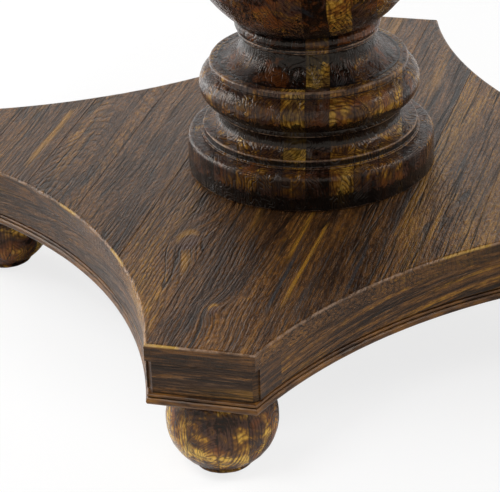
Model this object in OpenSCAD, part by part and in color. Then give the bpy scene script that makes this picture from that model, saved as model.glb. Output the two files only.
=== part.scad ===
// Round pedestal table: a round boarded top on two half-lapped bearers, a turned
// column in five members held by one tie rod, and a four-cornered platform with
// hollowed sides, a mitred bead moulding and four turned bun feet.
//
// Millimetres, +Z up. The origin is on the floor, on the column's axis.
// One corner of the platform points to -Y, and the boards run along Y.

/* [Table] */
// Height of the table, floor to the face of the top
table_h = 765; // [740:5:790]
// Diameter of the round top
top_d = 1370; // [1200:10:1600]
// Thickness of the top's boards
top_t = 28; // [22:1:36]
// Number of boards across the top
top_boards = 7; // [5:1:8]
// Width of the built-up rim under the edge of the top
rim_w = 85; // [60:5:110]
// Thickness of the rim
rim_t = 28; // [20:1:32]
// Round on the outer edges of the top and the rim
top_nose = 6; // [3:0.5:10]
// Width of the bearers under the top
bearer_w = 110; // [80:5:140]
// Thickness of the bearers
bearer_t = 45; // [36:1:55]
// How far the underside of each bearer's end slopes in
bearer_slope = 60; // [20:5:90]

/* [Platform] */
// From the centre to each cut-off corner face
reach = 487; // [440:1:540]
// Width of each cut-off corner face
corner_face = 122; // [100:1:150]
// From the centre to the middle of each hollow side
waist = 311.5; // [290:0.5:330]
// Height of the platform's underside above the floor
foot_room = 106; // [95:1:125]
// Thickness of the platform's boards
board_t = 20; // [16:0.5:24]
// Height of the frieze between boards and bead
frieze_h = 41; // [32:0.5:60]
// Height of the bead moulding
bead_h = 13; // [12.5:0.5:16]
// Width of the bead moulding, front to back
bead_w = 16; // [12:0.5:22]
// Radius of the large bead
bead_q = 4.4; // [3.6:0.1:4.6]
// Radius of the small bead above it
small_bead_q = 1.9; // [1.4:0.1:2]
// How far the large bead stands out beyond the boards' outline
bead_proud = 1; // [0.5:0.1:2]
// Round on the upper edge of the boards
board_nose = 4.5; // [2:0.5:7]
// How far each corner block stands back under the boards
block_back = 5; // [3:0.5:9]
// Depth of a corner block
block_d = 42; // [30:1:60]
// Chamfer on the upright edges of a corner block
block_bevel = 6; // [2:0.5:9]
// Thickness of the hollowed side rails
rail_t = 28; // [20:1:34]
// Height of the groove between frieze and bead
quirk_h = 2.5; // [1.5:0.5:4]
// Depth of that groove
quirk_d = 3; // [2:0.5:5]

/* [Column] */
// Radius of the plinth disc
plinth_r = 150; // [140:1:170]
// Height of the plinth disc
plinth_h = 46; // [38:1:60]
// Round on the plinth's upper edge
plinth_nose = 8; // [4:0.5:12]
// Radius of the fillet on the plinth
fillet_r = 130.5; // [126:0.5:136]
// Height of that fillet
fillet_h = 11; // [8:0.5:16]
// Radius of the scotia at its throat
scotia_in = 110.5; // [104:0.5:112]
// Radius of the scotia's hollow
scotia_q = 13.8; // [12:0.1:15]
// Height of the scotia
scotia_h = 22; // [18:0.5:26]
// Radius of the collar over the scotia
collar_r = 115.5; // [114:0.5:120]
// Height of that collar
collar_h = 8; // [5:0.5:12]
// Largest radius of the torus
torus_r = 133.3; // [128:0.5:140]
// Height of the torus
torus_h = 42.5; // [38:0.5:44]
// Radius of the torus's own round
torus_q = 22.6; // [22.2:0.1:26]
// Radius of the step on the torus
step_r = 120; // [118.5:0.5:122]
// Height of that step
step_h = 9; // [6:0.5:12]
// Round on the step's upper edge
step_nose = 3; // [1:0.5:4]
// Radius of the neck under the vase
neck_r = 81; // [76:0.5:86]
// Height of the neck's hollow
neck_h = 31.5; // [28:0.5:34]
// Height of the ring over the neck
ring_h = 6; // [3:0.5:10]
// How far the ring stands out from the neck
ring_out = 3.5; // [2:0.5:5]
// Radius of the neck bead
neck_bead_r = 88; // [86:0.5:94]
// Height of the neck bead
neck_bead_h = 15; // [10:0.5:20]
// Largest radius of the vase
vase_r = 148; // [140:1:156]
// Radius of the upper neck
upper_neck_r = 72; // [66:1:80]
// Radius of the bead over the vase's shoulder
cap_bead_r = 82; // [81:1:90]
// Height of that bead
cap_bead_h = 14; // [8:1:18]
// Height of the flare that carries the upper neck out to the cap
flare_h = 58; // [50:1:70]
// Radius of the cap's torus
cap_torus_r = 126; // [118:1:136]
// Height of the cap's torus
cap_torus_h = 16; // [10:1:22]
// Radius of the disc that carries the bearers
cap_disc_r = 136; // [126:1:150]
// Height of that disc
cap_disc_h = 16; // [10:1:24]

/* [Feet] */
// How far each foot's centre lies behind its corner face
foot_inset = 72.3; // [66:0.1:90]
// Largest radius of a bun foot
foot_r = 62.6; // [62:0.1:68]
// Height of the widest place above the floor
foot_mid = 59.5; // [56:0.5:62]
// Radius of the foot's upright curve, a little less than the foot's own, which flattens the bun
foot_q = 60.6; // [58:0.1:62]
// Radius of the turned pad under the foot
pad_r = 33; // [28:0.5:33.5]
// Height of that pad
pad_h = 6; // [4:0.5:9]
// Radius of the felt glides
glide_r = 24; // [16:0.5:25]
// Thickness of the felt glides
glide_t = 2; // [1.5:0.5:4]

/* [Joints] */
// Thickness of the tongues between boards
tongue_t = 6; // [4:0.5:8]
// Depth of the tongues
tongue_d = 6; // [4:0.5:9]
// Bevel along the seams between boards
seam = 0.6; // [0.3:0.1:1.2]
// Radius of the spigots between the column's members
spigot_r = 30; // [22:1:40]
// Length of those spigots
spigot_l = 14; // [8:1:20]
// Radius of the tie rod
rod_r = 6; // [5:0.5:8]
// Radius of the feet's hanger bolts
bolt_r = 5; // [4:0.5:6]
// Depth of a hanger bolt in the foot, and in the rail above it
bolt_grip = 38; // [26:1:42]
// Radius of the shank of the bearer screws
screw_r = 2.5; // [2:0.25:3]
// Radius of their heads
screw_head_r = 5.5; // [4.5:0.5:7]
// How far the screws enter the top's boards
screw_bite = 18; // [12:1:20]

/* [Hidden] */
// Clearance round whatever slides into a hole, a groove or a socket
fit = 0.15;
// What a cutter reaches past the face it cuts
past = 5;
// Small easing of turned edges
ease = 1.5;
$fn = 96;

corners = ["front", "right", "back", "left"];
sides = ["front_right", "back_right", "back_left", "front_left"];
column = ["column_plinth", "column_base", "column_neck", "column_vase", "column_cap"];
// Widths of the platform's boards, from -X to +X
board_widths = [82, 83, 82, 90, 90, 112, 90, 90, 90, 83, 82];
boards = len(board_widths);
rim_parts = 6;

// Heights above the floor
frieze_z = foot_room + bead_h;
board_z = frieze_z + frieze_h;
platform_z = board_z + board_t;
top_z = table_h - top_t;
rim_z = top_z - rim_t;
bearer_z = top_z - bearer_t;

// The hollow sides: one circle through both corner edges and the waist
half_face = corner_face / 2;
half_chord = (reach - half_face) / sqrt(2);
hollow_d = (reach + half_face) / sqrt(2) - waist;
arc_r = (pow(half_chord, 2) + pow(hollow_d, 2)) / (2 * hollow_d);
arc_c = (waist + arc_r) / sqrt(2);
// Distance from the Y axis to a hollow side, set in by inset, at a distance y along the Y axis
function side_x(y, inset) = arc_c - sqrt(pow(arc_r + inset, 2) - pow(arc_c - y, 2));

// Frieze
frieze_in = 1;
foot_place = reach - foot_inset;
block_front = reach - block_back;
block_rear = block_front - block_d;
rail_in = frieze_in + rail_t;
cross_half = side_x(block_rear, rail_in) - ease;
cross_t = board_z - foot_room;

// Column: the height of each member's foot above the floor
fillet_z = platform_z + plinth_h;
scotia_z = fillet_z + fillet_h;
collar_z = scotia_z + scotia_h;
torus_z = collar_z + collar_h;
step_z = torus_z + torus_h;
neck_z = step_z + step_h;
ring_z = neck_z + neck_h;
neck_bead_z = ring_z + ring_h;
vase_z = neck_bead_z + neck_bead_h;
// Radius of the hollow that carries the step up into the neck
neck_q = neck_h - ease;
// The vase starts as wide as the neck bead's root, on a sphere of its largest radius
vase_foot_r = neck_bead_r - ease;
vase_mid_z = vase_z + sqrt(pow(vase_r, 2) - pow(vase_foot_r, 2));
cap_disc_z = bearer_z - cap_disc_h;
cap_torus_z = cap_disc_z - cap_torus_h;
flare_z = cap_torus_z - flare_h;
cap_z = flare_z - cap_bead_h;
// The shoulder is upright at the vase's middle and comes in to the upper neck at the cap's foot
shoulder_in = vase_r - upper_neck_r - ease;
shoulder_q = (pow(shoulder_in, 2) + pow(cap_z - vase_mid_z, 2)) / (2 * shoulder_in);
shoulder_c = vase_r - shoulder_q;
// Round that carries the upper neck out under the cap's torus
flare_q = cap_torus_r - cap_torus_h / 2 - upper_neck_r - ease;

// Tie rod with its nuts and washers, in recesses at both ends
washer_r = 15;
washer_t = 2.5;
nut_r = 3 * rod_r / sqrt(3);
nut_h = 10;
// The rod passes each nut by rod_proud and ends rod_shy inside the recess's mouth
rod_proud = 1;
rod_shy = 0.5;
rod_low = foot_room + rod_shy;
rod_high = top_z - rod_shy;
rod_play = 1;
rod_hole_r = rod_r + rod_play;
recess_r = washer_r + 3 * rod_play;
recess_d = washer_t + nut_h + rod_proud + rod_shy;
// The plinth's spigot passes the boards and enters the cross rail
plinth_bite = 8;
plinth_spigot = board_t + plinth_bite;

// Bearer screws: three along each arm, with their heads in pockets
screw_places = [0.3, 0.6, 0.9];
screw_pocket = 14;
screw_head_h = 3;
arm = sqrt(pow(top_d / 2 - rim_w, 2) - pow(bearer_w / 2, 2)) - 2 * fit;
screw_span = arm - bearer_slope - 2 * screw_head_r;

timber = "#4b3425";
light_timber = "#6a4a2c";
dark_timber = "#3a281d";
steel = "#8d9094";
felt = "#3c3a38";

// ---- Shapes that several pieces share ----

// What a quarter round of radius q takes off an outer corner at radius r and height z;
// side is 1 for an upper corner and -1 for a lower one
module corner_waste(r, z, q, side) {
    difference() {
        translate([r - q, side > 0 ? z - q : z - past]) square([q + past, q + past]);
        translate([r - q, z - side * q]) circle(q);
    }
}

// Half profile of a turned disc with eased lower and upper edges
module disc_profile(r, z, h, low = 0, high = 0) {
    difference() {
        translate([0, z]) square([r, h]);
        if (low > 0) corner_waste(r, z, low, -1);
        if (high > 0) corner_waste(r, z + h, high, 1);
    }
}

// Half profile of a torus of largest radius r, whose round has radius q, between z and z + h
module torus_profile(r, z, h, q) {
    translate([0, z]) square([r - q, h]);
    intersection() {
        translate([r - q, z + h / 2]) circle(q);
        translate([0, z]) square([r, h]);
    }
}

// Half profile of a neck of radius r that a hollow of radius q carries out at its foot (side -1)
// or at its head (side 1), from z to z + h
module hollow_profile(r, z, h, q, side) {
    centre_z = side < 0 ? z + q : z + h - q;
    difference() {
        translate([0, z]) square([r + q, h]);
        translate([r + q, centre_z]) circle(q);
        translate([r, side < 0 ? centre_z : z - past]) square([q + past, h - q + past]);
    }
}

// A turned member: its half profile, a spigot below, a socket above, and the tie rod's hole
module turned(z, top, spigot = spigot_l, socket = true) {
    rotate_extrude() difference() {
        union() {
            children();
            translate([0, z - spigot]) square([spigot_r, spigot + past]);
        }
        translate([-past, z - spigot - past]) square([past + rod_hole_r, top - z + spigot + 2 * past]);
        if (socket) {
            socket_d = spigot_l + 2 * fit;
            translate([-past, top - socket_d]) square([past + spigot_r + fit, socket_d + past]);
        }
    }
}

// Section of one board from x0 to x1 with its tongue and groove; t is its thickness
module board_section(x0, x1, t, tongue, groove) {
    difference() {
        union() {
            translate([x0, 0]) square([x1 - x0, t]);
            if (tongue) translate([x1 - past, (t - tongue_t) / 2]) square([tongue_d + past, tongue_t]);
        }
        if (groove) translate([x0 - past, (t - tongue_t) / 2 - fit])
            square([tongue_d + past + fit, tongue_t + 2 * fit]);
        if (groove) translate([x0, t]) rotate(45) square(seam * sqrt(2), center = true);
        if (tongue) translate([x1, t]) rotate(45) square(seam * sqrt(2), center = true);
    }
}

// The same board along Y, from -l to l, with its underside at height z
module board(x0, x1, z, t, l, tongue, groove) {
    translate([0, l, z]) rotate([90, 0, 0]) linear_extrude(2 * l)
        board_section(x0, x1, t, tongue, groove);
}

// Plan of the platform, with its corner faces set back and its hollow sides set in
module platform_plan(back = 0, inset = 0) {
    difference() {
        square(2 * (reach - back), center = true);
        for (i = [0 : 3]) rotate(90 * i) translate([arc_c, arc_c]) circle(arc_r + inset, $fn = 360);
    }
}

// Quarter ring round the centre of the hollow side in the +X -Y quarter, from a half profile
module side_ring() {
    translate([arc_c, -arc_c, 0]) rotate([0, 0, 90]) rotate_extrude(angle = 90, $fn = 360) children();
}

// ---- Top ----

module top_board(i) {
    w = top_d / top_boards;
    x0 = -top_d / 2 + (i - 1) * w;
    color(timber) difference() {
        intersection() {
            board(x0, x0 + w, top_z, top_t, top_d / 2, i < top_boards, i > 1);
            rotate_extrude($fn = 360) disc_profile(top_d / 2, top_z - past, top_t + past, 0, top_nose);
        }
        screw_holes(top_z - past, screw_bite + past + fit, screw_r + fit);
    }
}

module top_rim(i) {
    a = 360 / rim_parts;
    color(dark_timber) rotate([0, 0, (i - 1) * a]) rotate_extrude(angle = a, $fn = 360)
        difference() {
            translate([top_d / 2 - rim_w, rim_z]) square([rim_w, rim_t]);
            corner_waste(top_d / 2, rim_z, top_nose, -1);
        }
}

// A bearer along X; the half lap takes its upper half (side 1) or its lower half (side -1)
module bearer(side) {
    lap = bearer_w / 2 + fit;
    difference() {
        translate([-arm, -bearer_w / 2, bearer_z]) cube([2 * arm, bearer_w, bearer_t]);
        translate([-lap, -bearer_w, side > 0 ? bearer_z + bearer_t / 2 : bearer_z - past])
            cube([2 * lap, 2 * bearer_w, bearer_t / 2 + past]);
        for (m = [0, 1]) mirror([m, 0, 0]) translate([0, bearer_w, 0]) rotate([90, 0, 0])
            linear_extrude(2 * bearer_w) polygon([
                [arm - bearer_slope, bearer_z],
                [arm + past, bearer_z + bearer_t / 2 * (1 + past / bearer_slope)],
                [arm + past, bearer_z - past],
                [arm - bearer_slope, bearer_z - past]
            ]);
        translate([0, 0, bearer_z - past]) cylinder(r = rod_hole_r, h = bearer_t + 2 * past);
    }
}

module bearer_long() {
    color(dark_timber) difference() {
        rotate([0, 0, 90]) bearer(1);
        screw_holes(bearer_z - past, bearer_t + 2 * past, screw_r + fit);
        screw_holes(bearer_z - past, screw_pocket + past, screw_head_r + 2 * fit);
    }
}

module bearer_cross() {
    color(dark_timber) difference() {
        bearer(-1);
        translate([0, 0, top_z - recess_d]) cylinder(r = recess_r, h = recess_d + past);
        screw_holes(bearer_z - past, bearer_t + 2 * past, screw_r + fit);
        screw_holes(bearer_z - past, screw_pocket + past, screw_head_r + 2 * fit);
    }
}

// One cylinder at each bearer screw
module screw_holes(z, h, r) {
    for (i = [0 : 3], p = screw_places) rotate([0, 0, 90 * i])
        translate([screw_span * p, 0, z]) cylinder(r = r, h = h, $fn = 32);
}

module bearer_screws() {
    head_z = bearer_z + screw_pocket - screw_head_h;
    color(steel) {
        screw_holes(head_z, screw_head_h, screw_head_r);
        screw_holes(head_z, top_z + screw_bite - head_z, screw_r);
    }
}

// ---- Column ----

module column_plinth() {
    color(timber) turned(platform_z, fillet_z, plinth_spigot)
        disc_profile(plinth_r, platform_z, plinth_h, ease, plinth_nose);
}

module column_base() {
    color(light_timber) turned(fillet_z, step_z + step_h) {
        disc_profile(fillet_r + 2 * ease, fillet_z, ease, 0, ease / 2);
        disc_profile(fillet_r, fillet_z, fillet_h, 0, ease);
        difference() {
            translate([0, scotia_z]) square([scotia_in + scotia_q + ease, scotia_h]);
            translate([scotia_in + scotia_q, scotia_z + scotia_q]) circle(scotia_q);
            translate([scotia_in + scotia_q, scotia_z + ease / 2]) square([scotia_q, scotia_h]);
        }
        disc_profile(collar_r, collar_z, collar_h, ease / 2, ease);
        torus_profile(torus_r, torus_z, torus_h, torus_q);
        disc_profile(step_r, step_z, step_h, 0, step_nose);
    }
}

module column_neck() {
    color(timber) turned(neck_z, vase_z) {
        hollow_profile(neck_r, neck_z, neck_h, neck_q, -1);
        disc_profile(neck_r + ring_out, ring_z, ring_h, ease, ease);
        torus_profile(neck_bead_r, neck_bead_z, neck_bead_h, neck_bead_h / 2);
    }
}

module column_vase() {
    color(light_timber) turned(vase_z, cap_z) {
        intersection() {
            translate([0, vase_mid_z]) circle(vase_r, $fn = 180);
            translate([0, vase_z]) square([vase_r, vase_mid_z - vase_z]);
        }
        intersection() {
            union() {
                translate([shoulder_c, vase_mid_z]) circle(shoulder_q, $fn = 180);
                if (shoulder_c > 0) translate([0, vase_mid_z]) square([shoulder_c, shoulder_q]);
            }
            translate([0, vase_mid_z]) square([vase_r, cap_z - vase_mid_z]);
        }
    }
}

module column_cap() {
    color(timber) turned(cap_z, bearer_z, spigot_l, false) {
        torus_profile(cap_bead_r, cap_z, cap_bead_h, cap_bead_h / 2);
        hollow_profile(upper_neck_r, flare_z, flare_h, flare_q, 1);
        torus_profile(cap_torus_r, cap_torus_z, cap_torus_h, cap_torus_h / 2);
        disc_profile(cap_disc_r, cap_disc_z, cap_disc_h, ease, 0);
    }
}

module tie_rod() {
    color(steel) translate([0, 0, rod_low]) cylinder(r = rod_r, h = rod_high - rod_low);
}

module tie_rod_nuts() {
    for (z = [foot_room + recess_d - washer_t - nut_h, top_z - recess_d + washer_t])
        color(steel) translate([0, 0, z]) difference() {
            cylinder(r = nut_r, h = nut_h, $fn = 6);
            translate([0, 0, -past]) cylinder(r = rod_r, h = nut_h + 2 * past);
        }
}

module tie_rod_washers() {
    for (z = [foot_room + recess_d - washer_t, top_z - recess_d])
        color(steel) translate([0, 0, z]) difference() {
            cylinder(r = washer_r, h = washer_t);
            translate([0, 0, -past]) cylinder(r = rod_r + fit, h = washer_t + 2 * past);
        }
}

// ---- Platform ----

// How far board i begins from the -X face, as a share of the whole width
function widths_before(i) = i == 0 ? 0 : widths_before(i - 1) + board_widths[i - 1];
function board_x(i) = reach * (2 * widths_before(i) / widths_before(boards) - 1);

module platform_board(i) {
    color(i % 3 == 0 ? dark_timber : timber) difference() {
        board(board_x(i - 1), board_x(i), board_z, board_t, reach, i < boards, i > 1);
        for (q = [0 : 3]) rotate([0, 0, 90 * q]) {
            side_ring() hollow_waste();
            translate([0, half_face + past, 0]) rotate([90, 0, 0]) linear_extrude(corner_face + 2 * past)
                corner_waste(reach, platform_z, board_nose, 1);
        }
        translate([0, 0, board_z - past]) cylinder(r = spigot_r + fit, h = board_t + 2 * past);
    }
}

// Half profile of what the hollow side and the round on its edge take off the boards
module hollow_waste() {
    translate([0, board_z - past]) square([arc_r, board_t + 2 * past]);
    difference() {
        translate([arc_r - past, platform_z - board_nose]) square([board_nose + past, board_nose + past]);
        translate([arc_r + board_nose, platform_z - board_nose]) circle(board_nose);
    }
}

// Every corner piece is drawn at the front, towards -Y, and turned to its place
module at_corner(i) rotate([0, 0, 90 * i]) children();

module corner_block(i) {
    color(timber) at_corner(i) difference() {
        translate([0, 0, frieze_z]) linear_extrude(frieze_h) intersection() {
            platform_plan(block_back, frieze_in);
            translate([-reach, -block_front]) square([2 * reach, block_d]);
        }
        for (m = [0, 1]) mirror([m, 0, 0]) {
            translate([side_x(block_front, frieze_in), -block_front, frieze_z - past]) rotate([0, 0, 45])
                translate([-block_bevel, -block_bevel, 0] / sqrt(2))
                cube([block_bevel * sqrt(2), block_bevel * sqrt(2), frieze_h + 2 * past]);
            side_quirk();
        }
    }
}

// The groove over the bead along one hollow side
module side_quirk() {
    side_ring() translate([arc_r - past, frieze_z - past])
        square([past + frieze_in + quirk_d, past + quirk_h]);
}

module side_rail(i) {
    color(timber) at_corner(i) difference() {
        intersection() {
            side_ring() translate([arc_r + frieze_in, frieze_z]) square([rail_t, frieze_h]);
            translate([0, -block_rear, frieze_z]) cube([block_rear, block_rear, frieze_h]);
        }
        side_quirk();
    }
}

// Section of the bead moulding: x runs inwards from the platform's outline
module bead_section() {
    root = bead_q - bead_proud;
    small_root = root - small_bead_q / 2;
    translate([root, foot_room]) square([bead_w - root, bead_h]);
    translate([root, foot_room + bead_q]) circle(bead_q);
    translate([small_root, foot_room + bead_q]) square([bead_w - small_root, bead_h - bead_q]);
    translate([small_root, frieze_z - small_bead_q]) circle(small_bead_q, $fn = 12);
}

// Half the length of a corner moulding at depth d behind the corner face: its mitre runs from the
// platform's outline to where the moulding's inner sides meet
mitre_x = side_x(reach - bead_w, bead_w);
function mitre_at(d) = half_face - (half_face - mitre_x) * d / bead_w;
mitre_out = [mitre_at(-past), -reach - past];
mitre_in = [mitre_at(bead_w + past), -reach + bead_w + past];

module corner_bead(i) {
    color(light_timber) at_corner(i) intersection() {
        translate([-reach / 2, -reach, 0]) rotate([90, 0, 90]) linear_extrude(reach) bead_section();
        linear_extrude(frieze_z + past) polygon([
            [-mitre_out.x, mitre_out.y],
            mitre_out,
            mitre_in,
            [-mitre_in.x, mitre_in.y]
        ]);
    }
}

module side_bead(i) {
    color(light_timber) at_corner(i) intersection() {
        side_ring() translate([arc_r, 0]) bead_section();
        linear_extrude(frieze_z + past) polygon([
            mitre_out,
            mitre_in,
            [0, 0],
            [-mitre_in.y, -mitre_in.x],
            [-mitre_out.y, -mitre_out.x]
        ]);
    }
}

// A cross rail along X, under the boards; the half lap takes its upper half (side 1) or its lower half
module cross_rail(side) {
    lap = cross_half + fit;
    difference() {
        union() {
            translate([-block_rear, -cross_half, foot_room]) cube([2 * block_rear, 2 * cross_half, cross_t]);
            translate([-reach + bead_w, -cross_half, foot_room])
                cube([2 * (reach - bead_w), 2 * cross_half, bead_h]);
        }
        translate([-lap, -2 * cross_half, side > 0 ? foot_room + cross_t / 2 : foot_room - past])
            cube([2 * lap, 4 * cross_half, cross_t / 2 + past]);
        translate([0, 0, foot_room - past]) cylinder(r = rod_hole_r, h = cross_t + 2 * past);
        for (m = [0, 1]) mirror([m, 0, 0]) translate([foot_place, 0, foot_room - past])
            cylinder(r = bolt_r + fit, h = bolt_grip + past + fit);
    }
}

module cross_rail_long() {
    color(dark_timber) difference() {
        rotate([0, 0, 90]) cross_rail(1);
        translate([0, 0, foot_room - past]) cylinder(r = recess_r, h = recess_d + past);
    }
}

module cross_rail_cross() {
    color(dark_timber) difference() {
        cross_rail(-1);
        translate([0, 0, platform_z - plinth_spigot - fit])
            cylinder(r = spigot_r + fit, h = plinth_spigot);
    }
}

// ---- Feet ----

module bun_foot(i) {
    color(light_timber) at_corner(i) translate([0, -foot_place, 0]) rotate_extrude() difference() {
        union() {
            intersection() {
                translate([foot_r - foot_q, foot_mid]) circle(foot_q, $fn = 120);
                translate([0, glide_t + pad_h]) square([foot_r, foot_room - glide_t - pad_h]);
            }
            disc_profile(pad_r, glide_t, pad_h, pad_h / 2, 0);
        }
        translate([-past, foot_room - bolt_grip - fit]) square([past + bolt_r + fit, bolt_grip + past]);
    }
}

module foot_bolts() {
    for (i = [0 : 3]) color(steel) at_corner(i)
        translate([0, -foot_place, foot_room - bolt_grip]) cylinder(r = bolt_r, h = 2 * bolt_grip);
}

module foot_glides() {
    for (i = [0 : 3]) color(felt) at_corner(i)
        translate([0, -foot_place, 0]) cylinder(r = glide_r, h = glide_t);
}

// ---- Assembly ----

for (i = [1 : top_boards]) top_board(i);
for (i = [1 : rim_parts]) top_rim(i);
bearer_long();
bearer_cross();
bearer_screws();
column_plinth();
column_base();
column_neck();
column_vase();
column_cap();
tie_rod();
tie_rod_nuts();
tie_rod_washers();
for (i = [1 : boards]) platform_board(i);
for (i = [0 : 3]) corner_block(i);
for (i = [0 : 3]) side_rail(i);
for (i = [0 : 3]) corner_bead(i);
for (i = [0 : 3]) side_bead(i);
cross_rail_long();
cross_rail_cross();
for (i = [0 : 3]) bun_foot(i);
foot_bolts();
foot_glides();
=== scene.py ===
# %% [markdown]
# # A round pedestal table, and how it gets its looks
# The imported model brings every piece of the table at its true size, as plain solids. This script leaves
# the construction alone and works on what the eye meets: the turned column and feet, the bead moulding,
# the wood and its lacquer, the light and the camera. All lengths are in metres, in the model's own
# frame: Z points up, the floor is at zero and the column stands on the origin.

# %% Load the frame
import math

import bpy
import numpy as np
from mathutils import Matrix, Vector


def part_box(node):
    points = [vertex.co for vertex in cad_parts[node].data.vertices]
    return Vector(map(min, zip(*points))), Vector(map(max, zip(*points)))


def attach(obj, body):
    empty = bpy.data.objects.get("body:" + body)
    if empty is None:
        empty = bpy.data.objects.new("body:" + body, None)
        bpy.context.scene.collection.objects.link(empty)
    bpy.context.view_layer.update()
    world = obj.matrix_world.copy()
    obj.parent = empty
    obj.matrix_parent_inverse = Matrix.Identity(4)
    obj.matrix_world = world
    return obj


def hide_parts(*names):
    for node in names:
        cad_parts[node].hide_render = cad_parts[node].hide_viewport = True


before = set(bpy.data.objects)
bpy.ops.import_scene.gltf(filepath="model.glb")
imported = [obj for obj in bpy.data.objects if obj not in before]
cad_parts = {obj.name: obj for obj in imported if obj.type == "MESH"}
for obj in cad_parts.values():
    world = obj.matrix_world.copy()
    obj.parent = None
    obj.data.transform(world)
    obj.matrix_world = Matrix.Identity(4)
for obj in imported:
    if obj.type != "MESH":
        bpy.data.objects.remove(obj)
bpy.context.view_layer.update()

print("pieces in the frame:", len(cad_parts))

# %% [markdown]
# ## Measures
# A piece that is made here has to meet pieces that come from the model, so every place is read off the
# model. The platform's plan needs three numbers: how far its corner faces lie from the centre, and the
# centre and radius of the circle that hollows each side. That circle's centre lies on a diagonal, at
# (c, -c), so each point of the hollow side says x² + y² = 2c (x - y) + k, which is a straight line in c
# and k. Least squares then finds both at once, and no number has to be copied from the construction.

# %% Read the platform's plan
CORNERS = ("front", "right", "back", "left")
SIDES = ("front_right", "back_right", "back_left", "front_left")


def vertices(*nodes):
    """All vertices of these model nodes, one row of x, y, z for each."""
    rows = []
    for name in nodes:
        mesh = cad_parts[name].data
        flat = np.empty(3 * len(mesh.vertices), np.float32)
        mesh.vertices.foreach_get("co", flat)
        rows.append(flat.reshape(-1, 3))
    return np.concatenate(rows).astype(float)


boards = [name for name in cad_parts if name.startswith("platform_board_")]
boards.sort(key=lambda name: int(name.split("_")[-1]))
# The hollow side at the front right crosses the eighth to the tenth board.
edge = vertices(*boards[7:10])
edge = edge[(edge[:, 1] < 0) & (edge[:, 2] < edge[:, 2].min() + 1e-4)]
solved = np.linalg.lstsq(
    np.stack([2 * (edge[:, 0] - edge[:, 1]), np.ones(len(edge))], axis=1),
    edge[:, 0] ** 2 + edge[:, 1] ** 2,
    rcond=None,
)[0]
ARC_C = solved[0]
ARC_R = math.sqrt(solved[1] + 2 * ARC_C ** 2)
REACH = -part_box(boards[0])[0].x
HALF_FACE = ARC_C - math.sqrt(ARC_R ** 2 - (ARC_C - REACH) ** 2)
PLATFORM_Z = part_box(boards[0])[1].z
print(f"hollow side: centre {ARC_C:.4f}, radius {ARC_R:.4f}; corner face {2 * HALF_FACE:.4f} wide")

# %% [markdown]
# ## Shader maths as Python
# A procedural finish is mostly arithmetic on numbers that change over the surface. Written as nodes it
# is hard to read, so a small class wraps a node's output socket and gives it Python's operators: `1 -
# mask * 0.4` then adds its Math nodes by itself. Colours and vectors don't go through Math nodes, which
# would turn them grey, so they have their own methods on the finish that is being made.

# %% A socket with operators
class Value:
    """The output of a shader node, as a number in an expression."""

    def __init__(self, finish, out):
        self.finish = finish
        self.out = out

    def math(self, operation, *others):
        """A Math node on this value, and on a second value or number where the operation takes two."""
        return self.finish.add("Math", {"operation": operation}, dict(enumerate((self, *others))))

    def math_from(self, operation, first):
        """A Math node with this value as the second of the two."""
        return self.finish.add("Math", {"operation": operation}, {0: first, 1: self})

    def __add__(self, other):
        return self.math("ADD", other)

    def __sub__(self, other):
        return self.math("SUBTRACT", other)

    def __rsub__(self, other):
        return self.math_from("SUBTRACT", other)

    def __mul__(self, other):
        return self.math("MULTIPLY", other)

    def __truediv__(self, other):
        return self.math("DIVIDE", other)

    def __rtruediv__(self, other):
        return self.math_from("DIVIDE", other)

    def __pow__(self, other):
        return self.math("POWER", other)

    def __rpow__(self, other):
        return self.math_from("POWER", other)

    __radd__ = __add__
    __rmul__ = __mul__


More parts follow.
